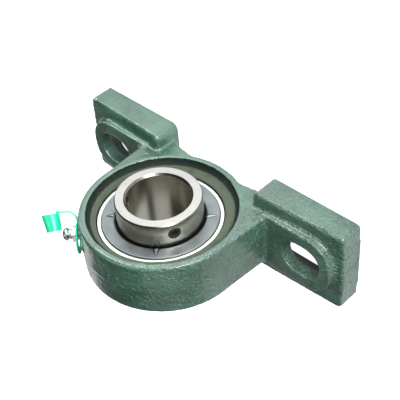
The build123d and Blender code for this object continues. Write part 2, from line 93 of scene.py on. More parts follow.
def blend_colours(tree, factor, first, second):
    """The first colour where the factor is 0, the second where it is 1."""
    mixed = add_node(tree, "ShaderNodeMix", data_type="RGBA")
    for place, value in ((0, factor), (6, first), (7, second)):
        socket = mixed.inputs[place]
        if isinstance(value, bpy.types.NodeSocket):
            tree.links.new(value, socket)
        else:
            socket.default_value = value if isinstance(value, float) else (*value, 1.0)
    return mixed.outputs[2]


def new_group(name, kind, inputs, outputs):
    """A node group with named sockets. Returns its tree, its input node and its output node."""
    tree = bpy.data.node_groups.new(name, kind)
    for side, sockets in (("INPUT", inputs), ("OUTPUT", outputs)):
        for label, (socket_type, default) in sockets.items():
            socket = tree.interface.new_socket(label, in_out=side, socket_type=socket_type)
            if default is not None:
                socket.default_value = default
    return tree, tree.nodes.new("NodeGroupInput"), tree.nodes.new("NodeGroupOutput")


FLOAT = "NodeSocketFloat"
VECTOR = "NodeSocketVector"
GEOMETRY = "NodeSocketGeometry"
MATERIAL = "NodeSocketMaterial"

# %% [markdown]
# ## Shader groups that the finishes share
# Four effects come back in several finishes. Round parts need coordinates round the shaft, turned
# steel needs fine circular marks, anything cast or moulded needs an uneven skin, and everything
# that is handled gets paler or brighter on its edges. On the green paint the same edge mask is
# also a painted highlight. Each is a group, so each material only says how strong it is.

# %% Shader group: coordinates round the shaft
round_tree, source, sink = new_group(
    "Round the shaft", "ShaderNodeTree",
    {"Position": (VECTOR, None), "Centre mm": (FLOAT, SHAFT_HEIGHT_MM)},
    {"Radius mm": (FLOAT, None), "Along mm": (FLOAT, None), "Turned": (VECTOR, None)},
)
parts = add_node(round_tree, "ShaderNodeSeparateXYZ", {0: source.outputs[0]})
centre_height = calc(round_tree, "MULTIPLY", source.outputs["Centre mm"], MM)
height = calc(round_tree, "SUBTRACT", parts.outputs[2], centre_height)
squares = calc(
    round_tree, "ADD", calc(round_tree, "MULTIPLY", parts.outputs[0], parts.outputs[0]),
    calc(round_tree, "MULTIPLY", height, height),
)
radius_mm = calc(round_tree, "MULTIPLY", calc(round_tree, "SQRT", squares), MM_PER_M)
along_mm = calc(round_tree, "MULTIPLY", parts.outputs[1], MM_PER_M)
turn = calc(round_tree, "ARCTAN2", height, parts.outputs[0])
joined = add_node(round_tree, "ShaderNodeCombineXYZ", {0: radius_mm, 1: along_mm, 2: turn})
for place, value in enumerate((radius_mm, along_mm, joined.outputs[0])):
    round_tree.links.new(value, sink.inputs[place])
print("group:", round_tree.name)

# %% Shader group: marks that turning and grinding leave
marks_tree, source, sink = new_group(
    "Turning marks", "ShaderNodeTree",
    {"Turned": (VECTOR, None), "Lines per mm": (FLOAT, 6.0), "Unevenness": (FLOAT, 0.5)},
    {"Height": (FLOAT, None), "Tone": (FLOAT, None)},
)
stretch = add_node(
    marks_tree, "ShaderNodeVectorMath", {0: source.outputs["Turned"], 1: (1.0, 1.0, 0.35)},
    operation="MULTIPLY",
)
lines = add_node(
    marks_tree, "ShaderNodeTexNoise",
    {"Vector": stretch.outputs[0], "Scale": source.outputs["Lines per mm"], "Detail": 3.0,
     "Roughness": 0.65},
)
broad = add_node(
    marks_tree, "ShaderNodeTexNoise",
    {"Vector": stretch.outputs[0], "Scale": 0.55, "Detail": 2.0, "Roughness": 0.5},
)
tone = calc(
    marks_tree, "ADD", calc(marks_tree, "MULTIPLY", lines.outputs[0], 0.5),
    calc(marks_tree, "MULTIPLY", broad.outputs[0], source.outputs["Unevenness"]),
)
marks_tree.links.new(lines.outputs[0], sink.inputs[0])
marks_tree.links.new(tone, sink.inputs[1])
print("group:", marks_tree.name)

# %% Shader group: uneven cast or moulded skin
skin_tree, source, sink = new_group(
    "Uneven skin", "ShaderNodeTree",
    {"Position": (VECTOR, None), "Grain mm": (FLOAT, 0.7), "Patch mm": (FLOAT, 14.0),
     "Pits": (FLOAT, 0.5)},
    {"Height": (FLOAT, None), "Patches": (FLOAT, None), "Pit mask": (FLOAT, None)},
)
grain_scale = calc(skin_tree, "DIVIDE", MM_PER_M, source.outputs["Grain mm"])
patch_scale = calc(skin_tree, "DIVIDE", MM_PER_M, source.outputs["Patch mm"])
grain = add_node(
    skin_tree, "ShaderNodeTexNoise",
    {"Vector": source.outputs[0], "Scale": grain_scale, "Detail": 3.0, "Roughness": 0.6},
)
patches = add_node(
    skin_tree, "ShaderNodeTexNoise",
    {"Vector": source.outputs[0], "Scale": patch_scale, "Detail": 4.0, "Roughness": 0.55},
)
PITS_PER_GRAIN = 0.55
PIT_EDGE = (0.10, 0.30)
PITTED_PATCHES = (0.50, 0.62)
PIT_DEPTH_IN_GRAINS = 1.2
cells = add_node(
    skin_tree, "ShaderNodeTexVoronoi",
    {"Vector": source.outputs[0], "Scale": calc(skin_tree, "MULTIPLY", grain_scale, PITS_PER_GRAIN),
     "Randomness": 1.0},
)
hollow = calc(skin_tree, "SUBTRACT", 1.0, ramp_between(skin_tree, cells.outputs["Distance"], *PIT_EDGE))
where = ramp_between(skin_tree, patches.outputs[0], *PITTED_PATCHES)
pit_mask = calc(
    skin_tree, "MULTIPLY", calc(skin_tree, "MULTIPLY", hollow, where), source.outputs["Pits"], clamp=True
)
sunk = calc(skin_tree, "MULTIPLY", pit_mask, PIT_DEPTH_IN_GRAINS)
skin_height = calc(skin_tree, "SUBTRACT", grain.outputs[0], sunk)
for place, value in enumerate((skin_height, patches.outputs[0], pit_mask)):
    skin_tree.links.new(value, sink.inputs[place])
print("group:", skin_tree.name)

# %% Shader group: edge wear and sheen
wear_and_sheen_tree, source, sink = new_group(
    "Edge wear and sheen", "ShaderNodeTree",
    {"Position": (VECTOR, None), "Start": (FLOAT, 0.53), "Full": (FLOAT, 0.60),
     "Breakup mm": (FLOAT, 3.0)},
    {"Mask": (FLOAT, None)},
)
shape = add_node(wear_and_sheen_tree, "ShaderNodeNewGeometry")
# The pointiness mask marks edges and bumps. The steel, oxide, cage and cap use it for wear; the green paint
# uses it for wear and for a painted highlight.
edge = add_node(
    wear_and_sheen_tree, "ShaderNodeMapRange",
    {"Value": shape.outputs["Pointiness"], "From Min": source.outputs["Start"],
     "From Max": source.outputs["Full"]},
)
breakup_scale = calc(wear_and_sheen_tree, "DIVIDE", MM_PER_M, source.outputs["Breakup mm"])
breakup = add_node(
    wear_and_sheen_tree, "ShaderNodeTexNoise",
    {"Vector": source.outputs[0], "Scale": breakup_scale, "Detail": 3.0},
)
WEAR_AND_SHEEN_PATCHES = (0.35, 0.6)
wear_and_sheen_breakup = ramp_between(wear_and_sheen_tree, breakup.outputs[0], *WEAR_AND_SHEEN_PATCHES)
mask = calc(wear_and_sheen_tree, "MULTIPLY", edge.outputs[0], wear_and_sheen_breakup, clamp=True)
wear_and_sheen_tree.links.new(mask, sink.inputs[0])
print("group:", wear_and_sheen_tree.name)


# %% Start of every material
def start_material(name):
    """A node material with a Principled BSDF. Returns the material, its tree, the shader and the
    output with the place on the object."""
    material = bpy.data.materials.new(name)
    material.use_nodes = True
    tree = material.node_tree
    shader = tree.nodes["Principled BSDF"]
    place = add_node(tree, "ShaderNodeTexCoord").outputs["Object"]
    return material, tree, shader, place


def use_group(tree, group, inputs):
    return add_node(tree, "ShaderNodeGroup", inputs, node_tree=group)


def add_bump(tree, shader, layers):
    """Stack bumps, each a height with its depth in millimetres, into the shader's normal."""
    normal = None
    for height_socket, depth_mm in layers:
        inputs = {"Height": height_socket, "Strength": 1.0, "Distance": depth_mm * MM}
        if normal is not None:
            inputs["Normal"] = normal
        normal = add_node(tree, "ShaderNodeBump", inputs).outputs[0]
    tree.links.new(normal, shader.inputs["Normal"])


def set_roughness(tree, shader, mask, share, base):
    """Roughness that starts at base and rises by a share of the mask."""
    tree.links.new(calc(tree, "MULTIPLY_ADD", mask, share, base), shader.inputs["Roughness"])


# %% [markdown]
# ## The paint on the casting
# The housing is grey iron from a sand mould, sprayed with a glossy green enamel. The paint follows
# the sand grain and lies darker in patches. Its pits carry painted shade, and its edges are a little
# paler, partly from wear and partly as a painted highlight. The recess round the insert has only a
# dull overspray on its floor and painted shade on its wall, so it has a material of its own.

# %% Material: green enamel over cast iron
GREEN = (0.030, 0.100, 0.066)
DEEP_GREEN = (0.014, 0.060, 0.038)
EDGE_AND_GLINT_GREEN = (0.05, 0.13, 0.09)
PIT_SHADE_GREEN = (0.006, 0.020, 0.012)
EDGE_AND_GLINT_SHARE = 0.22
COAT = 0.7
PIT_DULLNESS = 0.4
ROUGHER_PER_METRE = -14.0
PEEL_DEPTH_MM = 0.8
FINE_PEEL_DEPTH_MM = 0.1
cast_paint, tree, shader, place = start_material("cast_paint")
skin = use_group(tree, skin_tree, {"Position": place, "Grain mm": 1.8, "Patch mm": 13.0, "Pits": 0.0})
fine = use_group(tree, skin_tree, {"Position": place, "Grain mm": 0.9, "Patch mm": 9.0, "Pits": 0.9})
broad = use_group(tree, skin_tree, {"Position": place, "Grain mm": 9.0, "Patch mm": 30.0, "Pits": 0.0})
x_place = add_node(tree, "ShaderNodeSeparateXYZ", {0: place}).outputs[0]
edges = use_group(tree, wear_and_sheen_tree, {"Position": place, "Start": 0.53, "Full": 0.60, "Breakup mm": 2.2})
colour = blend_colours(tree, ramp_between(tree, skin.outputs["Patches"], 0.35, 0.65), DEEP_GREEN, GREEN)
# Edges and the bumps of the grain are painted paler: partly wear, and partly a painted highlight that
# stands in for glints.
colour = blend_colours(tree, calc(tree, "MULTIPLY", edges.outputs[0], EDGE_AND_GLINT_SHARE), colour, EDGE_AND_GLINT_GREEN)
pitted = fine.outputs["Pit mask"]
# The pits are painted near black: painted shade in the hollows.
colour = blend_colours(tree, pitted, colour, PIT_SHADE_GREEN)
tree.links.new(colour, shader.inputs["Base Color"])
gloss = calc(tree, "MULTIPLY_ADD", fine.outputs["Patches"], 0.26, 0.22)
gloss = calc(tree, "MULTIPLY_ADD", pitted, PIT_DULLNESS, gloss)
tree.links.new(gloss, shader.inputs["Roughness"])
shader.inputs["Specular IOR Level"].default_value = 0.9
wet = calc(tree, "MULTIPLY_ADD", pitted, -COAT, COAT)
tree.links.new(wet, shader.inputs["Coat Weight"])
shader.inputs["Coat Roughness"].default_value = 0.07
# The peel is stronger in broad patches, and stronger towards the foot on the -X side.
shifted = calc(tree, "SUBTRACT", broad.outputs["Patches"], 0.05)
roughest = calc(tree, "MULTIPLY_ADD", x_place, ROUGHER_PER_METRE, shifted)
strength = calc(tree, "MULTIPLY_ADD", ramp_between(tree, roughest, 0.2, 1.1), 1.5, 0.35)
peel = calc(tree, "MULTIPLY", skin.outputs["Height"], strength)
fine_peel = calc(tree, "MULTIPLY", fine.outputs["Height"], strength)
add_bump(tree, shader, [(peel, PEEL_DEPTH_MM), (fine_peel, FINE_PEEL_DEPTH_MM)])
print("material:", cast_paint.name)

# %% Material: overspray in the recess
OVERSPRAY = (0.055, 0.070, 0.048)
WALL_SHADE_GREEN = (0.003, 0.009, 0.006)
SPOT_GREEN = (0.02, 0.035, 0.025)
SPOT_SHARE = 0.6
WALL_FOOT_MM = (10.75, 11.2)
recess_paint, tree, shader, place = start_material("recess_paint")
skin = use_group(tree, skin_tree, {"Position": place, "Grain mm": 0.5, "Patch mm": 6.0, "Pits": 0.5})
body = use_group(tree, round_tree, {"Position": place, "Centre mm": BODY_CENTRE_MM})
wall = ramp_between(tree, calc(tree, "ABSOLUTE", body.outputs["Along mm"]), *WALL_FOOT_MM)
# The recess wall is painted near black: painted shade on the wall.
colour = blend_colours(tree, wall, OVERSPRAY, WALL_SHADE_GREEN)
blotches = ramp_between(tree, skin.outputs["Patches"], 0.55, 0.75)
spots = calc(tree, "MAXIMUM", skin.outputs["Pit mask"], blotches)
colour = blend_colours(tree, calc(tree, "MULTIPLY", spots, SPOT_SHARE), colour, SPOT_GREEN)
tree.links.new(colour, shader.inputs["Base Color"])
set_roughness(tree, shader, skin.outputs["Patches"], 0.3, 0.6)
shader.inputs["Specular IOR Level"].default_value = 0.25
add_bump(tree, shader, [(skin.outputs["Height"], 0.12)])
print("material:", recess_paint.name)

# %% [markdown]
# ## Ground and pressed steel
# The rings are hardened and ground, so they are bright with very fine circular marks. The slinger
# is pressed from blue-grey sheet, the screws are blackened, and the nipple is plated.

# %% Material: ground bearing steel
GROUND_STEEL = (0.33, 0.32, 0.27)
GROUND_PALE = (0.40, 0.39, 0.33)
BORE_STEEL = (0.40, 0.39, 0.335)
END_STEEL = (0.33, 0.33, 0.318)
RACE_END_STEEL = (0.72, 0.73, 0.70)
CHAMFER_STEEL = (0.05, 0.047, 0.04)
WORN_STEEL = (0.75, 0.74, 0.71)
BORE_RADIUS_MM = (15.05, 15.2)
LONG_END_MM = (22.1, 22.19)
RACE_END_MM = (9.44, 9.49)
RACE_RADIUS_MM = (27.0, 27.5)
COLLAR_MM = (21.25, 21.35)
ring_steel, tree, shader, place = start_material("ring_steel")
shaft = use_group(tree, round_tree, {"Position": place})
marks = use_group(
    tree, marks_tree, {"Turned": shaft.outputs["Turned"], "Lines per mm": 7.0, "Unevenness": 0.25}
)
edges = use_group(tree, wear_and_sheen_tree, {"Position": place, "Start": 0.52, "Full": 0.6, "Breakup mm": 3.0})
tone = ramp_between(tree, marks.outputs["Tone"], 0.2, 0.8)
steel = blend_colours(tree, tone, GROUND_STEEL, GROUND_PALE)
end_depth = calc(tree, "ABSOLUTE", shaft.outputs["Along mm"])
in_bore = calc(tree, "SUBTRACT", 1.0, ramp_between(tree, shaft.outputs["Radius mm"], *BORE_RADIUS_MM))
steel = blend_colours(tree, in_bore, steel, BORE_STEEL)
long_end = ramp_between(tree, end_depth, *LONG_END_MM)
race_end = calc(
    tree, "MULTIPLY", ramp_between(tree, end_depth, *RACE_END_MM),
    ramp_between(tree, shaft.outputs["Radius mm"], *RACE_RADIUS_MM),
)
ground_end = calc(tree, "MAXIMUM", long_end, race_end)
steel = blend_colours(tree, long_end, steel, END_STEEL)
steel = blend_colours(tree, race_end, steel, RACE_END_STEEL)
collar = ramp_between(tree, end_depth, *COLLAR_MM)
chamfers = calc(tree, "MULTIPLY", collar, calc(tree, "SUBTRACT", 1.0, ground_end))
steel = blend_colours(tree, calc(tree, "MULTIPLY", chamfers, 0.9), steel, CHAMFER_STEEL)
steel = blend_colours(tree, calc(tree, "MULTIPLY", edges.outputs[0], 0.08), steel, WORN_STEEL)
tree.links.new(steel, shader.inputs["Base Color"])
shader.inputs["Metallic"].default_value = 1.0
polish = calc(tree, "MULTIPLY_ADD", marks.outputs["Tone"], 0.06, 0.24)
set_roughness(tree, shader, ground_end, 0.25, polish)
add_bump(tree, shader, [(marks.outputs["Height"], 0.0008)])
print("material:", ring_steel.name)

# %% Material: blue-grey pressed sheet
SHEET_BLUE = (0.14, 0.16, 0.165)
SHEET_PALE = (0.19, 0.215, 0.22)
CREASE_SHADE_BLACK = (0.012, 0.013, 0.014)
GAP_SHADE_BLACK = (0.010, 0.010, 0.009)
CREASE_DEPTH_MM = (10.0, 10.2)
LIP_RADIUS_MM = (21.4, 21.8)
RIM_RADIUS_MM = (26.4, 26.6)
GAP_SHADE_RADIUS_MM = (21.0, 21.5)
slinger_sheet, tree, shader, place = start_material("slinger_sheet")
shaft = use_group(tree, round_tree, {"Position": place})
marks = use_group(
    tree, marks_tree, {"Turned": shaft.outputs["Turned"], "Lines per mm": 3.0, "Unevenness": 0.8}
)
skin = use_group(tree, skin_tree, {"Position": place, "Grain mm": 0.35, "Patch mm": 6.0, "Pits": 0.0})
patch = ramp_between(tree, skin.outputs["Patches"], 0.3, 0.7)
sheet = blend_colours(tree, patch, SHEET_BLUE, SHEET_PALE)
from_middle = calc(tree, "ABSOLUTE", shaft.outputs["Along mm"])
crease = calc(tree, "SUBTRACT", 1.0, ramp_between(tree, from_middle, *CREASE_DEPTH_MM))
outside_lip = ramp_between(tree, shaft.outputs["Radius mm"], *LIP_RADIUS_MM)
inside_rim = calc(tree, "SUBTRACT", 1.0, ramp_between(tree, shaft.outputs["Radius mm"], *RIM_RADIUS_MM))
crease = calc(tree, "MULTIPLY", calc(tree, "MULTIPLY", crease, outside_lip), inside_rim)
# The stake creases are painted near black: painted shade in the creases.
sheet = blend_colours(tree, calc(tree, "MULTIPLY", crease, 0.9), sheet, CREASE_SHADE_BLACK)
# The disc's inner edge, next to the ring, is painted near black: painted shade in the gap.
gap_shade = calc(tree, "SUBTRACT", 1.0, ramp_between(tree, shaft.outputs["Radius mm"], *GAP_SHADE_RADIUS_MM))
sheet = blend_colours(tree, gap_shade, sheet, GAP_SHADE_BLACK)
tree.links.new(sheet, shader.inputs["Base Color"])
shader.inputs["Metallic"].default_value = 0.85
set_roughness(tree, shader, marks.outputs["Tone"], 0.2, 0.28)
add_bump(tree, shader, [(marks.outputs["Height"], 0.003), (skin.outputs["Height"], 0.004)])
print("material:", slinger_sheet.name)

# %% Material: moulded black rubber
seal_rubber, tree, shader, place = start_material("seal_rubber")
skin = use_group(tree, skin_tree, {"Position": place, "Grain mm": 0.3, "Patch mm": 8.0, "Pits": 0.2})
rubber = blend_colours(tree, skin.outputs["Patches"], (0.012, 0.012, 0.013), (0.035, 0.034, 0.033))
tree.links.new(rubber, shader.inputs["Base Color"])
set_roughness(tree, shader, skin.outputs["Patches"], 0.3, 0.45)
add_bump(tree, shader, [(skin.outputs["Height"], 0.02)])
print("material:", seal_rubber.name)

# %% Material: black oxide
black_oxide, tree, shader, place = start_material("black_oxide")
skin = use_group(tree, skin_tree, {"Position": place, "Grain mm": 0.25, "Patch mm": 3.0, "Pits": 0.3})
edges = use_group(tree, wear_and_sheen_tree, {"Position": place, "Start": 0.52, "Full": 0.62, "Breakup mm": 1.0})
oxide = blend_colours(tree, skin.outputs["Patches"], (0.018, 0.017, 0.016), (0.05, 0.047, 0.042))
oxide = blend_colours(tree, calc(tree, "MULTIPLY", edges.outputs[0], 0.35), oxide, (0.22, 0.21, 0.19))
tree.links.new(oxide, shader.inputs["Base Color"])
shader.inputs["Metallic"].default_value = 0.7
set_roughness(tree, shader, skin.outputs["Patches"], 0.2, 0.3)
add_bump(tree, shader, [(skin.outputs["Height"], 0.01)])
print("material:", black_oxide.name)

# %% Material: bright plating
plating, tree, shader, place = start_material("plating")
skin = use_group(tree, skin_tree, {"Position": place, "Grain mm": 0.6, "Patch mm": 4.0, "Pits": 0.0})
patch = ramp_between(tree, skin.outputs["Patches"], 0.3, 0.7)
bright = blend_colours(tree, patch, (0.60, 0.60, 0.60), (0.74, 0.74, 0.73))
tree.links.new(bright, shader.inputs["Base Color"])
shader.inputs["Metallic"].default_value = 1.0
set_roughness(tree, shader, skin.outputs["Patches"], 0.2, 0.16)
add_bump(tree, shader, [(skin.outputs["Height"], 0.006)])
print("material:", plating.name)

# %% Material: polished ball steel
ball_polish, tree, shader, place = start_material("ball_polish")
skin = use_group(tree, skin_tree, {"Position": place, "Grain mm": 0.4, "Patch mm": 5.0, "Pits": 0.0})
polish = blend_colours(tree, skin.outputs["Patches"], (0.66, 0.65, 0.64), (0.8, 0.79, 0.78))
tree.links.new(polish, shader.inputs["Base Color"])
shader.inputs["Metallic"].default_value = 1.0
set_roughness(tree, shader, skin.outputs["Patches"], 0.06, 0.05)
add_bump(tree, shader, [(skin.outputs["Height"], 0.001)])
print("material:", ball_polish.name)

# %% Material: bare pressed steel
cage_steel, tree, shader, place = start_material("cage_steel")
skin = use_group(tree, skin_tree, {"Position": place, "Grain mm": 0.5, "Patch mm": 5.0, "Pits": 0.1})
edges = use_group(tree, wear_and_sheen_tree, {"Position": place, "Start": 0.52, "Full": 0.6, "Breakup mm": 2.0})
pressed = blend_colours(tree, skin.outputs["Patches"], (0.36, 0.35, 0.34), (0.55, 0.54, 0.52))
pressed = blend_colours(tree, calc(tree, "MULTIPLY", edges.outputs[0], 0.5), pressed, (0.75, 0.74, 0.72))
tree.links.new(pressed, shader.inputs["Base Color"])
shader.inputs["Metallic"].default_value = 1.0
set_roughness(tree, shader, skin.outputs["Patches"], 0.2, 0.25)
add_bump(tree, shader, [(skin.outputs["Height"], 0.008)])
print("material:", cage_steel.name)

# %% Material: soft green moulding
soft_green, tree, shader, place = start_material("soft_green")
skin = use_group(tree, skin_tree, {"Position": place, "Grain mm": 1.2, "Patch mm": 7.0, "Pits": 0.0})
edges = use_group(tree, wear_and_sheen_tree, {"Position": place, "Start": 0.51, "Full": 0.58, "Breakup mm": 5.0})
mint = blend_colours(tree, skin.outputs["Patches"], (0.000, 0.44, 0.21), (0.003, 0.55, 0.30))
mint = blend_colours(tree, calc(tree, "MULTIPLY", edges.outputs[0], 0.4), mint, (0.10, 0.92, 0.58))
tree.links.new(mint, shader.inputs["Base Color"])
shader.inputs["Subsurface Weight"].default_value = 0.35
shader.inputs["Subsurface Radius"].default_value = (0.3, 1.0, 0.6)
shader.inputs["Subsurface Scale"].default_value = 0.0015
set_roughness(tree, shader, skin.outputs["Patches"], 0.15, 0.22)
add_bump(tree, shader, [(skin.outputs["Height"], 0.02)])
print("material:", soft_green.name)

# %% Material: the same moulding where it is thin
soft_strap, tree, shader, place = start_material("soft_strap")
skin = use_group(tree, skin_tree, {"Position": place, "Grain mm": 1.2, "Patch mm": 5.0, "Pits": 0.0})
pale = blend_colours(tree, skin.outputs["Patches"], (0.10, 0.58, 0.38), (0.20, 0.68, 0.49))
tree.links.new(pale, shader.inputs["Base Color"])
shader.inputs["Subsurface Weight"].default_value = 0.5
shader.inputs["Subsurface Radius"].default_value = (0.8, 1.0, 0.9)
shader.inputs["Subsurface Scale"].default_value = 0.002
set_roughness(tree, shader, skin.outputs["Patches"], 0.15, 0.2)
add_bump(tree, shader, [(skin.outputs["Height"], 0.015)])
print("material:", soft_strap.name)


# %% [markdown]
# ## Finishes for the CAD solids
# Rings, seals, balls and cage have the right shape already, and they only get a material. The other
# solids get theirs too, though a dressed piece takes their place further down.

# %% Give the CAD solids their finish
def finish_node(node, material):
    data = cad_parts[node].data
    data.materials.clear()
    data.materials.append(material)


for node in ("inner_ring", "outer_ring"):
    finish_node(node, ring_steel)
for node in ("seal_front", "seal_back"):
    finish_node(node, seal_rubber)
for node in ("cage_front_half", "cage_back_half", "nipple_spring", "cage_rivets"):
    finish_node(node, cage_steel)
for number in range(1, 10):
    finish_node(f"ball_{number}", ball_polish)
finish_node("nipple_check_ball", ball_polish)
finish_node("grease_nipple", plating)
finish_node("nipple_cap", soft_green)
for node in ("slinger_front", "slinger_back"):
    finish_node(node, slinger_sheet)
for node in ("set_screw_1", "set_screw_2"):
    finish_node(node, black_oxide)
finish_node("housing", cast_paint)
print("finished solids:", len(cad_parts))

# %% [markdown]
# ## The casting's skin
# A sand casting has no sharp edge and no flat face. A copy of the housing is remeshed to small
# even faces and smoothed a little, so each edge gets its cast radius. Then a Geometry Nodes tree
# pushes the skin inwards by the sand's grain, by slow waves and by small pits, leaves a fine ridge
# along the parting line of the mould, and scatters grains of stuck sand in patches. The seat is
# machined and the base is flat, so both are left smooth.

# %% Remesh a copy of the housing
def copy_of_node(node, name):
    """A merged copy of a CAD solid, as an object of its own."""
    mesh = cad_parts[node].data.copy()
    mesh.materials.clear()
    piece = bpy.data.objects.new(name, mesh)
    bpy.context.scene.collection.objects.link(piece)
    weld = piece.modifiers.new("weld", "WELD")
    weld.merge_threshold = 0.002 * MM
    return piece


def bake_modifiers(piece):
    """Turn the piece and its modifiers into a plain smooth-shaded mesh."""
    bpy.context.view_layer.update()
    evaluated = piece.evaluated_get(bpy.context.evaluated_depsgraph_get())
    mesh = bpy.data.meshes.new_from_object(evaluated)
    piece.modifiers.clear()
    old = piece.data
    piece.data = mesh
    mesh.name = piece.name
    bpy.data.meshes.remove(old)
    for polygon in mesh.polygons:
        polygon.use_smooth = True


VOXEL = 0.64 * MM
CAST_RADIUS_STEPS = 5
casting = copy_of_node("housing", "housing_casting")
remesh = casting.modifiers.new("even faces", "REMESH")
remesh.mode = "VOXEL"
remesh.voxel_size = VOXEL
soften = casting.modifiers.new("cast radius", "SMOOTH")
soften.factor = 0.5
soften.iterations = CAST_RADIUS_STEPS
bake_modifiers(casting)
print("even faces on the casting:", len(casting.data.polygons))

# %% Geometry Nodes: sand grain, waves, pits, parting line and stuck sand
GRAIN_LEVEL = 0.85
WAVE_LEVEL = 0.8
RELIEF_PIT_EDGE = (0.06, 0.26)
RELIEF_PITTED = (0.50, 0.60)
SANDY_WAVES = (0.46, 0.62)
SAND_SIZES = (0.5, 1.3)
SEAT_FADE = 1.0 * MM
BASE_FADE = (0.2 * MM, 1.5 * MM)
RIDGE_FLANK = (0.3 * MM, 1.1 * MM)
RIDGE_HEIGHT = 0.12 * MM
relief_tree, source, sink = new_group(
    "Cast relief", "GeometryNodeTree",
    {"Geometry": (GEOMETRY, None), "Grain mm": (FLOAT, 1.9), "Grain depth mm": (FLOAT, 0.42),
     "Wave mm": (FLOAT, 17.0), "Wave depth mm": (FLOAT, 0.22), "Pit depth mm": (FLOAT, 0.34),
     "Seat radius mm": (FLOAT, 33.2), "Sand per m2": (FLOAT, 80000.0), "Sand mm": (FLOAT, 0.34),
     "Seed": ("NodeSocketInt", 7), "Material": (MATERIAL, None)},
    {"Geometry": (GEOMETRY, None)},
)
place = add_node(relief_tree, "GeometryNodeInputPosition").outputs[0]
normal = add_node(relief_tree, "GeometryNodeInputNormal").outputs[0]


def noise_at(size_socket):
    """Noise whose features have the size in mm that the socket gives."""
    scale = calc(relief_tree, "DIVIDE", MM_PER_M, size_socket)
    return add_node(
        relief_tree, "ShaderNodeTexNoise",
        {"Vector": place, "Scale": scale, "Detail": 2.0, "Roughness": 0.6},
    ).outputs[0]


grain = noise_at(source.outputs["Grain mm"])
wave = noise_at(source.outputs["Wave mm"])
pit_scale = calc(relief_tree, "DIVIDE", 0.5 * MM_PER_M, source.outputs["Grain mm"])
pit_cells = add_node(
    relief_tree, "ShaderNodeTexVoronoi", {"Vector": place, "Scale": pit_scale, "Randomness": 1.0}
)
pit = ramp_between(relief_tree, pit_cells.outputs["Distance"], *RELIEF_PIT_EDGE)
pit = calc(relief_tree, "SUBTRACT", 1.0, pit)
pit = calc(relief_tree, "MULTIPLY", pit, ramp_between(relief_tree, wave, *RELIEF_PITTED))
below_grain = calc(relief_tree, "SUBTRACT", GRAIN_LEVEL, grain)
below_wave = calc(relief_tree, "SUBTRACT", WAVE_LEVEL, wave)
depth = calc(relief_tree, "MULTIPLY", below_grain, source.outputs["Grain depth mm"])
depth = calc(relief_tree, "MULTIPLY_ADD", below_wave, source.outputs["Wave depth mm"], depth)
depth = calc(relief_tree, "MULTIPLY_ADD", pit, source.outputs["Pit depth mm"], depth)
from_centre = add_node(
    relief_tree, "ShaderNodeVectorMath", {0: place, 1: (0.0, 0.0, SHAFT_HEIGHT)}, operation="DISTANCE"
).outputs["Value"]
seat_edge = calc(relief_tree, "MULTIPLY", source.outputs["Seat radius mm"], MM)
seat_start = calc(relief_tree, "SUBTRACT", seat_edge, SEAT_FADE)
off_seat = ramp_between(relief_tree, from_centre, seat_start, seat_edge)
split_place = add_node(relief_tree, "ShaderNodeSeparateXYZ", {0: place})
above_base = ramp_between(relief_tree, split_place.outputs[2], *BASE_FADE)
push = calc(relief_tree, "MULTIPLY", calc(relief_tree, "MULTIPLY", depth, -MM), off_seat)
push = calc(relief_tree, "MULTIPLY", push, above_base)
from_parting = calc(relief_tree, "ABSOLUTE", split_place.outputs[1])
ridge = calc(relief_tree, "SUBTRACT", 1.0, ramp_between(relief_tree, from_parting, *RIDGE_FLANK))
ridge = calc(relief_tree, "MULTIPLY", calc(relief_tree, "MULTIPLY", ridge, off_seat), above_base)
push = calc(relief_tree, "MULTIPLY_ADD", ridge, RIDGE_HEIGHT, push)
offset = add_node(relief_tree, "ShaderNodeVectorMath", {0: normal, "Scale": push}, operation="SCALE")
moved = add_node(
    relief_tree, "GeometryNodeSetPosition", {"Geometry": source.outputs[0], "Offset": offset.outputs[0]}
)
rough_skin = calc(relief_tree, "MULTIPLY", off_seat, above_base)
where = calc(relief_tree, "MULTIPLY", rough_skin, ramp_between(relief_tree, wave, *SANDY_WAVES))
spots = add_node(relief_tree, "GeometryNodeDistributePointsOnFaces", {
    "Mesh": moved.outputs[0], "Seed": source.outputs["Seed"],
    "Density": calc(relief_tree, "MULTIPLY", where, source.outputs["Sand per m2"]),
})
sand = add_node(relief_tree, "GeometryNodeMeshIcoSphere", {
    "Radius": calc(relief_tree, "MULTIPLY", source.outputs["Sand mm"], MM), "Subdivisions": 1,
})
sizes = add_node(
    relief_tree, "FunctionNodeRandomValue",
    {2: SAND_SIZES[0], 3: SAND_SIZES[1], "Seed": source.outputs["Seed"]},
)
scattered = add_node(relief_tree, "GeometryNodeInstanceOnPoints", {
    "Points": spots.outputs["Points"], "Instance": sand.outputs["Mesh"],
    "Rotation": spots.outputs["Rotation"], "Scale": sizes.outputs[1],
})
both = add_node(relief_tree, "GeometryNodeJoinGeometry")
relief_tree.links.new(scattered.outputs[0], both.inputs[0])
relief_tree.links.new(moved.outputs[0], both.inputs[0])
realised = add_node(relief_tree, "GeometryNodeRealizeInstances", {0: both.outputs[0]})
coated = add_node(
    relief_tree, "GeometryNodeSetMaterial",
    {"Geometry": realised.outputs[0], "Material": source.outputs["Material"]},
)
relief_tree.links.new(coated.outputs[0], sink.inputs[0])


def add_tree(piece, tree, values):
    """Put a Geometry Nodes tree on a piece and set its inputs by their sockets' identifiers."""
    modifier = piece.modifiers.new(tree.name, "NODES")
    modifier.node_group = tree
    names = {item.name: item.identifier for item in tree.interface.items_tree if item.in_out == "INPUT"}
    for label, value in values.items():
        modifier[names[label]] = value


add_tree(casting, relief_tree, {"Material": cast_paint})
bake_modifiers(casting)
casting.data.calc_loop_triangles()
print("triangles with relief and stuck sand:", len(casting.data.loop_triangles))

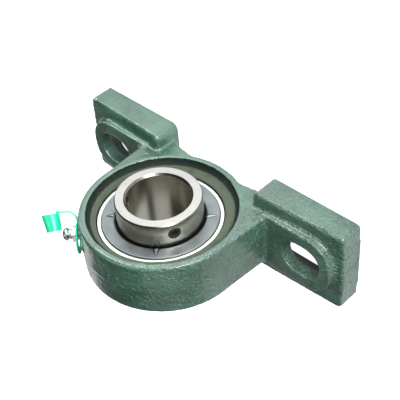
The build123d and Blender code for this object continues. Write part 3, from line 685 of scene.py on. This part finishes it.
# %% Keep the seat true and the casting inside its box
SEAT_RADIUS = 31.22 * MM
RECESS_FLOOR = 10.7 * MM
RECESS_MOUTH = 14.5 * MM
RECESS_FLOOR_RADIUS = 32.9 * MM
RECESS_MOUTH_RADIUS = 34.9 * MM
WALL_HOLLOW = 0.55 * MM
SEAT_REACH = 10.6 * MM
NEAR_WALL = 0.5 * MM
WALL_DEPTHS = (0.05, 0.97)


def vertex_array(mesh):
    points = np.empty(len(mesh.vertices) * 3)
    mesh.vertices.foreach_get("co", points)
    return points.reshape(-1, 3)


def put_vertices(mesh, points):
    mesh.vertices.foreach_set("co", points.ravel())
    mesh.update()


points = vertex_array(casting.data)
from_body = points[:, [0, 2]] - (0, BODY_CENTRE_MM * MM)
body_radius = np.linalg.norm(from_body, axis=1)
depth = np.clip((np.abs(points[:, 1]) - RECESS_FLOOR) / (RECESS_MOUTH - RECESS_FLOOR), 0.0, 1.0)
cone_radius = RECESS_FLOOR_RADIUS + depth * (RECESS_MOUTH_RADIUS - RECESS_FLOOR_RADIUS)
on_wall = np.abs(body_radius - cone_radius) < NEAR_WALL
on_wall &= (depth > WALL_DEPTHS[0]) & (depth < WALL_DEPTHS[1])
hollow = np.where(on_wall, WALL_HOLLOW * np.sin(math.pi * depth), 0.0)
points[:, [0, 2]] += from_body / body_radius[:, None] * hollow[:, None]
from_centre = points - (0, 0, SHAFT_HEIGHT)
distance = np.linalg.norm(from_centre, axis=1)
on_seat = (np.abs(points[:, 1]) < SEAT_REACH) & (distance < SEAT_RADIUS) & (distance > SEAT_RADIUS - MM)
points[on_seat] = from_centre[on_seat] * (SEAT_RADIUS / distance[on_seat])[:, None] + (0, 0, SHAFT_HEIGHT)
low, high = (np.array(corner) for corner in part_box("housing"))
points = np.clip(points, low, high)
put_vertices(casting.data, points)
print("points moved on to the seat:", int(on_seat.sum()))

# %% Paint the recess apart from the rest, and put the casting in the housing's place
RECESS_WITHIN = 35.1 * MM
RECESS_BETWEEN = (9.6 * MM, 14.3 * MM)
casting.data.materials.clear()
casting.data.materials.append(cast_paint)
casting.data.materials.append(recess_paint)
from_parting = np.abs(points[:, 1])
in_recess = (from_parting > RECESS_BETWEEN[0]) & (from_parting < RECESS_BETWEEN[1])
in_recess &= body_radius < RECESS_WITHIN
for polygon in casting.data.polygons:
    polygon.material_index = int(in_recess[list(polygon.vertices)].all())
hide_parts("housing")
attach(casting, "housing_body")
print("faces of the recess:", sum(polygon.material_index for polygon in casting.data.polygons))

# %% [markdown]
# ## Pieces that are turned, pressed or threaded
# The slingers, the set screws and the grease nipple are all grids of points wrapped round an axis.
# One helper rounds the corners of a section, and one makes a closed mesh from a grid. Each piece
# then only says how its radius or its height changes on the way round.

# %% Helpers for wrapped grids
def round_corners(section, radius, steps, support):
    """A closed section in mm with each corner cut to an arc, and a point beside each arc's ends."""
    points = np.array(section, dtype=float)
    rounded = []
    for here, before, after in zip(points, np.roll(points, 1, axis=0), np.roll(points, -1, axis=0)):
        to_before = before - here
        to_after = after - here
        long_before = np.linalg.norm(to_before)
        long_after = np.linalg.norm(to_after)
        to_before /= long_before
        to_after /= long_after
        half_angle = 0.5 * math.acos(float(np.clip(np.dot(to_before, to_after), -1.0, 1.0)))
        reach = min(radius / math.tan(half_angle), 0.4 * long_before, 0.4 * long_after)
        size = reach * math.tan(half_angle)
        middle = to_before + to_after
        centre = here + middle / np.linalg.norm(middle) * size / math.sin(half_angle)
        start = here + to_before * reach - centre
        end = here + to_after * reach - centre
        if long_before > 4 * reach:
            rounded.append(here + to_before * (reach + support))
        for step in range(steps + 1):
            arrow = start * (1 - step / steps) + end * (step / steps)
            rounded.append(centre + arrow / np.linalg.norm(arrow) * size)
        if long_after > 4 * reach:
            rounded.append(here + to_after * (reach + support))
    return np.array(rounded)


def grid_piece(name, grid, material, poles=False):
    """A closed mesh over a grid of points in mm, shape (rows, columns, 3). The rows close on each
    other, or, with poles, the first and last rows each shrink to one point."""
    rows, columns = grid.shape[:2]
    index = np.arange(rows * columns).reshape(rows, columns)
    if poles:
        index[0] = index[0, 0]
        index[-1] = index[-1, 0]
    beside = np.roll(index, -1, axis=1)
    quads = np.stack([index, beside, np.roll(beside, -1, axis=0), np.roll(index, -1, axis=0)], axis=-1)
    quads = (quads[:-1] if poles else quads).reshape(-1, 4)
    used, quads = np.unique(quads, return_inverse=True)
    corners = grid.reshape(-1, 3)[used] * MM
    quads = quads.reshape(-1, 4)
    a, b, c, d = (corners[quads[:, k]] for k in range(4))
    volume = np.sum(np.cross(a, b) * c + np.cross(a, c) * d)
    if volume < 0:
        quads = quads[:, ::-1]
    faces = [tuple(dict.fromkeys(quad)) for quad in quads.tolist()]
    mesh = bpy.data.meshes.new(name)
    mesh.from_pydata(corners.tolist(), [], faces)
    mesh.polygons.foreach_set("use_smooth", [True] * len(mesh.polygons))
    mesh.materials.append(material)
    piece = bpy.data.objects.new(name, mesh)
    bpy.context.scene.collection.objects.link(piece)
    return piece


def hexagon_radius(angle, flats):
    """How far a hexagon's outline is from its centre, for its width over flats."""
    third = math.pi / 3
    return flats / 2 / np.cos(np.mod(angle, third) - third / 2)


def along_axis(angle_deg, y_mm):
    """Turn grids of (along, across, up) into places, for an axis that points out from the shaft."""
    angle = math.radians(angle_deg)
    out = np.array((math.cos(angle), 0.0, math.sin(angle)))
    aside = np.array((0.0, 1.0, 0.0))
    up = np.array((-math.sin(angle), 0.0, math.cos(angle)))
    start = np.array((0.0, y_mm, SHAFT_HEIGHT / MM))
    return lambda grid: start + grid[..., :1] * out + grid[..., 1:2] * aside + grid[..., 2:] * up


def replace_node(piece, node, body):
    """Put a dressed piece in a node's place, on the node's body."""
    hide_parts(node)
    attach(piece, body)
    print(piece.name, "faces:", len(piece.data.polygons))


# %% Slingers with their stakes
STAKE_ANGLES_DEG = (40.0, 130.0, 220.0, 310.0)
STAKE_TIP_MM = 26.3
STAKE_ROOT_MM = 20.6
STAKE_HALF_WIDTH_MM = 1.5
STAKE_GROOVE_MM = 0.5
STAKE_DEPTH_MM = 0.5
TONGUE_LIFT_MM = 0.3
STAKE_SECTOR_DEG = 5.2


def slinger_angles():
    """Steps round the disc, fine across each stake and wide between them."""
    fine = np.linspace(-STAKE_SECTOR_DEG, STAKE_SECTOR_DEG, 60)
    wide = np.linspace(STAKE_SECTOR_DEG, 90.0 - STAKE_SECTOR_DEG, 42)[1:-1]
    quarter = np.concatenate([fine, wide])
    return np.radians(np.concatenate([stake + quarter for stake in STAKE_ANGLES_DEG]))


def stake_relief(radius, angle):
    """Depth in mm of the two creases of each stake, which meet at its tip, less the lift of the
    tongue between them."""
    depth = np.zeros(np.broadcast(radius, angle).shape)
    inward = np.clip((STAKE_TIP_MM - radius) / (STAKE_TIP_MM - STAKE_ROOT_MM), 0.0, 1.0)
    for stake in np.radians(STAKE_ANGLES_DEG):
        offset = np.abs(np.mod(angle - stake + math.pi, math.tau) - math.pi) * radius
        crease = np.clip(1 - np.abs(offset - STAKE_HALF_WIDTH_MM * inward) / STAKE_GROOVE_MM, 0.0, 1.0)
        tongue = np.clip(1 - offset / (STAKE_HALF_WIDTH_MM * inward + 0.01), 0.0, 1.0)
        depth += STAKE_DEPTH_MM * crease * np.sqrt(inward) - TONGUE_LIFT_MM * tongue * inward
    return depth


SLINGER_FACE = np.linspace(26.55, 21.75, 33)
for side, node in ((-1, "slinger_front"), (1, "slinger_back")):
    section = [(26.7, 9.0), (27.3, 9.0), (27.3, 9.95), (27.24, 10.15), (27.1, 10.27), (26.9, 10.3)]
    section += [(radius, 10.3) for radius in SLINGER_FACE]
    section += [(21.62, 10.27), (21.5, 10.2), (20.6, 9.72), (19.78, 9.28), (19.73, 9.2), (19.73, 8.66)]
    section += [(19.8, 8.63), (21.7, 9.7), (26.6, 9.7), (26.7, 9.6)]
    section = np.array(section)
    angle = slinger_angles()[None, :]
    radius = np.repeat(section[:, :1], angle.size, axis=1)
    lift = np.repeat(section[:, 1:], angle.size, axis=1)
    top = ((section[:, 0] > 20.5) & (section[:, 1] > 9.71) & (section[:, 0] < 26.8))[:, None]
    lift = lift - np.where(top, stake_relief(radius, angle), 0.0)
    turned = np.stack(
        [radius * np.cos(angle), side * lift, SHAFT_HEIGHT / MM + radius * np.sin(angle)], axis=-1
    )
    disc = grid_piece(node + "_pressed", turned, slinger_sheet)
    replace_node(disc, node, "inner_ring_body")

# %% Set screws with thread, cup point and hexagon socket
SCREW_ANGLES_DEG = (155.0, 35.0)
SCREW_Y_MM = -16.7
SCREW_POINT_MM = 15.25
SCREW_TOP_MM = 19.95
SCREW_PITCH_MM = 0.75
SCREW_RADIUS_MM = 2.94
THREAD_DEPTH_MM = 0.36
SOCKET_FLATS_MM = 3.0
SOCKET_FLOOR_MM = 17.4
SOCKET_MOUTH_MM = 1.9
SCREW_STEPS = 72
SHANK_ROWS = 52
around_screw = np.linspace(0.0, math.tau, SCREW_STEPS, endpoint=False)[None, :]
shank = np.linspace(SCREW_POINT_MM + 0.8, SCREW_TOP_MM - 0.25, SHANK_ROWS)[:, None]
# The thread has flat crests and flat roots, with straight flanks between them.
turns = np.mod(shank / SCREW_PITCH_MM - around_screw / math.tau, 1.0)
crest = SCREW_RADIUS_MM - THREAD_DEPTH_MM * np.clip(1.25 * np.abs(2 * turns - 1) - 0.1, 0.0, 1.0)
outside = np.stack([np.broadcast_to(shank, crest.shape), crest], axis=-1)
cup_point = (
    (15.55, 0.0), (15.5, 0.5), (15.3, 1.25), (SCREW_POINT_MM, 1.5), (15.3, 1.8), (15.75, 2.3), (15.98, 2.5),
)
crown = ((19.86, 2.74), (19.93, 2.6), (SCREW_TOP_MM, 2.45), (SCREW_TOP_MM, 2.1), (19.93, 1.92))
socket_steps = (
    (19.8, 1.08), (19.68, 1.01), (19.6, 1.0), (17.5, 1.0), (SOCKET_FLOOR_MM, 0.96), (17.1, 0.5),
    (16.9, 0.0),
)


def screw_row(along, radius):
    """One row of the screw's grid: a place along its axis, and the radius on the way round."""
    flat = np.ones_like(around_screw)
    return np.stack([flat * along, flat * radius], axis=-1)[0]


socket = hexagon_radius(around_screw, SOCKET_FLATS_MM)
ends = [screw_row(along, radius) for along, radius in cup_point]
rims = [screw_row(along, radius) for along, radius in crown]
walls = [screw_row(along, np.minimum(socket * grow, SOCKET_MOUTH_MM)) for along, grow in socket_steps]
rows = np.concatenate([np.array(ends), outside, np.array(rims), np.array(walls)])
for number, angle_deg in enumerate(SCREW_ANGLES_DEG, start=1):
    to_place = along_axis(angle_deg, SCREW_Y_MM)
    local = np.stack(
        [rows[..., 0], rows[..., 1] * np.cos(around_screw), rows[..., 1] * np.sin(around_screw)], axis=-1
    )
    screw = grid_piece(f"set_screw_{number}_threaded", to_place(local), black_oxide, poles=True)
    replace_node(screw, f"set_screw_{number}", f"set_screw_{number}_body")

# %% Grease nipple with a chamfered hexagon and a rounded head
NIPPLE_ANGLE_DEG = 45.0
NIPPLE_Y_MM = -2.0
HEXAGON_FLATS_MM = 7.0
HEXAGON_FROM_MM = 39.5
HEXAGON_TO_MM = 41.5
HEXAGON_OUTSIDE_MM = 3.0
NIPPLE_STEPS = 96
outer_corners = [
    (31.7, 0.8), (31.7, 2.95), (39.5, 2.95), (39.5, 4.04), (41.5, 4.04), (41.5, 2.75), (42.0, 2.5),
    (42.55, 2.5), (42.75, 2.3), (43.0, 2.3), (43.35, 2.55), (44.0, 3.13), (44.55, 3.13), (45.2, 2.75),
    (45.75, 2.15), (45.98, 1.6), (45.98, 0.85), (45.2, 0.8), (44.6, 1.4), (32.5, 1.4), (32.5, 0.8),
]
section = round_corners(outer_corners, radius=0.13, steps=3, support=0.06)
chamfer_curve = np.array(
    [(39.5, 3.55), (39.62, 3.78), (39.75, 4.0), (41.25, 4.0), (41.38, 3.78), (41.5, 3.55)]
)
round_nipple = np.linspace(0.0, math.tau, NIPPLE_STEPS, endpoint=False)[None, :]
along = np.repeat(section[:, :1], NIPPLE_STEPS, axis=1)
radius = np.repeat(section[:, 1:], NIPPLE_STEPS, axis=1)
chamfer = np.interp(along, chamfer_curve[:, 0], chamfer_curve[:, 1])
on_hexagon = (along > HEXAGON_FROM_MM - 0.01) & (along < HEXAGON_TO_MM + 0.01)
on_hexagon &= radius > HEXAGON_OUTSIDE_MM
six_sided = np.minimum(hexagon_radius(round_nipple, HEXAGON_FLATS_MM), chamfer)
radius = np.where(on_hexagon, np.minimum(radius, six_sided), radius)
local = np.stack([along, radius * np.cos(round_nipple), radius * np.sin(round_nipple)], axis=-1)
to_nipple = along_axis(NIPPLE_ANGLE_DEG, NIPPLE_Y_MM)
nipple = grid_piece("grease_nipple_turned", to_nipple(local), plating)
replace_node(nipple, "grease_nipple", "housing_body")

# %% The cap, its loop and its strap as one soft moulding
CAP_VOXEL = 0.17 * MM
STRAP_SWELL = 0.12 * MM
CAP_FLARE_MM = 1.2
STRAP_BEYOND_MM = -5.9
STRAP_UP_TO_MM = 47.0
CAP_TURN_DEG = 42.5
FLARE_FROM_MM = -1.4
FLARE_OVER_MM = 8.2
FAR_SIDE_FROM_MM = 47.4
FAR_SIDE_OVER_MM = 7.2
moulding = copy_of_node("nipple_cap", "cap_moulding")
remesh = moulding.modifiers.new("even faces", "REMESH")
remesh.mode = "VOXEL"
remesh.voxel_size = CAP_VOXEL
soften = moulding.modifiers.new("moulded edges", "SMOOTH")
soften.factor = 0.5
soften.iterations = 2
bake_modifiers(moulding)
moulding.data.materials.append(soft_green)
moulding.data.materials.append(soft_strap)
points = vertex_array(moulding.data)
angle = math.radians(NIPPLE_ANGLE_DEG)
turn = math.radians(CAP_TURN_DEG)
outward = np.array((math.cos(angle), 0.0, math.sin(angle)))
upward = np.array((-math.sin(angle), 0.0, math.cos(angle)))
sideward = math.cos(turn) * np.array((0.0, 1.0, 0.0)) + math.sin(turn) * upward
from_nipple = points / MM - (0.0, NIPPLE_Y_MM, SHAFT_HEIGHT / MM)
along = from_nipple @ outward
across = from_nipple @ sideward
on_strap = (across < STRAP_BEYOND_MM) & (along < STRAP_UP_TO_MM)
normals = np.array([vertex.normal for vertex in moulding.data.vertices])
points = points + normals * (on_strap * STRAP_SWELL)[:, None]
towards_end = np.clip((FLARE_FROM_MM - across) / FLARE_OVER_MM, 0.0, 1.0)
far_side = np.clip((along - FAR_SIDE_FROM_MM) / FAR_SIDE_OVER_MM, 0.0, 1.0)
points = points + outward * (CAP_FLARE_MM * MM * towards_end * far_side)[:, None]
put_vertices(moulding.data, points)
for polygon in moulding.data.polygons:
    polygon.material_index = int(on_strap[list(polygon.vertices)].all())
replace_node(moulding, "nipple_cap", "cap_body")

# %% [markdown]
# ## Floor, light and camera
# The photograph is a studio picture on white. A wide pale floor under the feet lights the part
# from below, and a brighter pool of it in front is what the front faces mirror. Soft boxes stand
# in front, above, to the left and to the right. A near box and a small strip low in front put the
# sparks on the paint's grain. A low strip and a wide screen behind give the round body something
# bright to mirror, while the rest of the room stays dim.

# %% Floor
FLOOR_HALF = 3.0
FLOOR_BELOW = 0.2 * MM
POOL_CENTRE = (0.0, -0.18, 0.0)
POOL_EDGE = (0.05, 0.20)
POOL_GLOW = 2.2
FLOOR_GLOW = 0.22
SEEN_GLOW = 1.0
floor_mesh = bpy.data.meshes.new("floor")
floor_mesh.from_pydata(
    [(x, y, -FLOOR_BELOW) for x, y in ((-1, -1), (1, -1), (1, 1), (-1, 1))], [], [(0, 1, 2, 3)]
)
floor_mesh.transform(Matrix.Diagonal((FLOOR_HALF, FLOOR_HALF, 1, 1)))
floor = bpy.data.objects.new("floor", floor_mesh)
bpy.context.scene.collection.objects.link(floor)
floor_paint, tree, shader, place = start_material("floor_paint")
shader.inputs["Base Color"].default_value = (0.9, 0.9, 0.9, 1.0)
shader.inputs["Roughness"].default_value = 0.9
shader.inputs["Emission Color"].default_value = (1.0, 1.0, 1.0, 1.0)
seen = add_node(tree, "ShaderNodeLightPath").outputs["Is Camera Ray"]
from_pool = add_node(
    tree, "ShaderNodeVectorMath", {0: place, 1: POOL_CENTRE}, operation="DISTANCE"
).outputs["Value"]
lit_pool = calc(tree, "SUBTRACT", 1.0, ramp_between(tree, from_pool, *POOL_EDGE))
glow = calc(tree, "MULTIPLY_ADD", lit_pool, POOL_GLOW, FLOOR_GLOW)
tree.links.new(calc(tree, "MULTIPLY_ADD", seen, SEEN_GLOW, glow), shader.inputs["Emission Strength"])
floor_mesh.materials.append(floor_paint)
print("floor:", floor.name)

# %% Lights
LIT_PLACE = Vector((0.0, 0.0, 0.04))
LIGHTS = (
    ("front_softbox", (-0.1, -1.0, 0.2), (0.9, 0.7), 6.5),
    ("near_softbox", (-0.42, -0.48, 0.16), (0.3, 0.3), 4.2),
    ("spark_strip", (0.5, -0.85, 0.07), (0.4, 0.1), 3.0),
    ("right_softbox", (2.3, -1.1, 0.4), (0.8, 0.8), 12.0),
    ("back_screen", (-1.0, 1.3, 1.1), (1.6, 1.2), 4.5),
    ("corner_softbox", (-0.7, -0.7, 0.35), (0.6, 0.6), 4.0),
    ("left_softbox", (-1.0, 0.2, 0.3), (0.6, 0.6), 1.2),
    ("top_softbox", (0.1, -0.2, 1.0), (0.6, 0.6), 3.5),
    ("low_back_strip", (0.8, 0.75, 0.16), (1.0, 0.3), 1.0),
)
WORLD_LIGHT = 0.06


def soft_light(name, place, size, watts):
    """A white rectangle of light, turned to the middle of the part."""
    lamp = bpy.data.lights.new(name, "AREA")
    lamp.shape = "RECTANGLE"
    lamp.size, lamp.size_y = size
    lamp.energy = watts
    obj = bpy.data.objects.new(name, lamp)
    bpy.context.scene.collection.objects.link(obj)
    aim = LIT_PLACE - Vector(place)
    obj.matrix_world = Matrix.Translation(place) @ aim.to_track_quat("-Z", "Y").to_matrix().to_4x4()


for light in LIGHTS:
    soft_light(*light)
world = bpy.data.worlds.new("studio")
bpy.context.scene.world = world
world.use_nodes = True
background = world.node_tree.nodes["Background"]
background.inputs["Color"].default_value = (1.0, 1.0, 1.0, 1.0)
background.inputs["Strength"].default_value = WORLD_LIGHT
print("lights:", len(LIGHTS))

# %% Camera
CAMERA_PLACE = Vector((-246.9, -311.4, 248.0)) * MM
CAMERA_RIGHT = Vector((-0.7219, 0.0627, -0.6892))
CAMERA_UP = Vector((0.4342, -0.7344, -0.5217))
FOCAL_LENGTH_MM = 86.7
SENSOR_MM = 36.0
lens = bpy.data.cameras.new("camera")
lens.lens = FOCAL_LENGTH_MM
lens.sensor_width = SENSOR_MM
lens.clip_start = 0.01
camera = bpy.data.objects.new("camera", lens)
bpy.context.scene.collection.objects.link(camera)
back = CAMERA_RIGHT.cross(CAMERA_UP).normalized()
right = CAMERA_UP.cross(back).normalized()
up = back.cross(right)
camera.matrix_world = Matrix.Translation(CAMERA_PLACE) @ Matrix((right, up, back)).transposed().to_4x4()
bpy.context.scene.camera = camera
bpy.context.scene.view_settings.view_transform = "Standard"
print("camera:", camera.name)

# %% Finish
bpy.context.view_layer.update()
